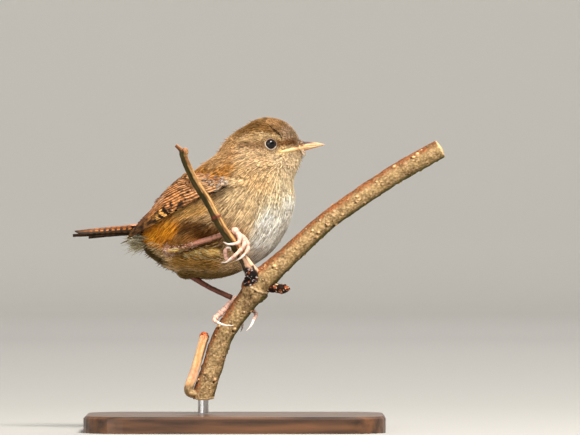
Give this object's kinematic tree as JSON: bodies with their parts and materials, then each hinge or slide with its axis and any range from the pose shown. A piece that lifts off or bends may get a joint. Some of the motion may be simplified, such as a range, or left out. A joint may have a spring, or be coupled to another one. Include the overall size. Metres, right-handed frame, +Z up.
{
  "type": "wren",
  "caption": "Life-size still model of a Eurasian wren gripping a cut length of branch and its side twig, held by a plain display stand",
  "frame": {"origin": "middle of the underside of the stand's base", "axes": "+Z up, +X towards the bill's side as seen from the bird's right, -Y towards the viewer of the bird's right side"},
  "size_m": [0.1118, 0.056, 0.0942],
  "materials": {
    "body_feathers": "soft, fluffed body feathers, warm brown above and pale buff below, finely streaked",
    "flight_feathers": "rufous vanes barred with dark brown, slightly glossy along the shafts",
    "horn": "smooth horn, dark grey brown on the culmen, yellow horn along the cutting edge and below",
    "eye": "wet, near-black eye",
    "leg_skin": "thin scaled skin, flesh pink, with pale claws",
    "branch_bark": "grey brown bark with pale raised lenticels",
    "twig_bark": "straw tan bark with darker lengthwise grooves",
    "stand_wood": "dark stained wood, satin lacquer",
    "stand_steel": "plain brushed steel rod"
  },
  "bodies": {
    "root": {"torso": "body_feathers", "neck": "body_feathers", "head": "body_feathers", "thigh_right": "body_feathers", "thigh_left": "body_feathers", "wing_right": "flight_feathers", "wing_left": "flight_feathers", "tail": "flight_feathers", "bill_upper": "horn", "bill_lower": "horn", "eye_right": "eye", "eye_left": "eye", "tarsus_right": "leg_skin", "tarsus_left": "leg_skin", "foot_right": "leg_skin", "foot_left": "leg_skin", "perch_branch": "branch_bark", "perch_bud": "branch_bark", "perch_twig": "twig_bark", "perch_shoot": "twig_bark", "stand_base": "stand_wood", "stand_rod": "stand_steel"}
  },
  "joints": []
}
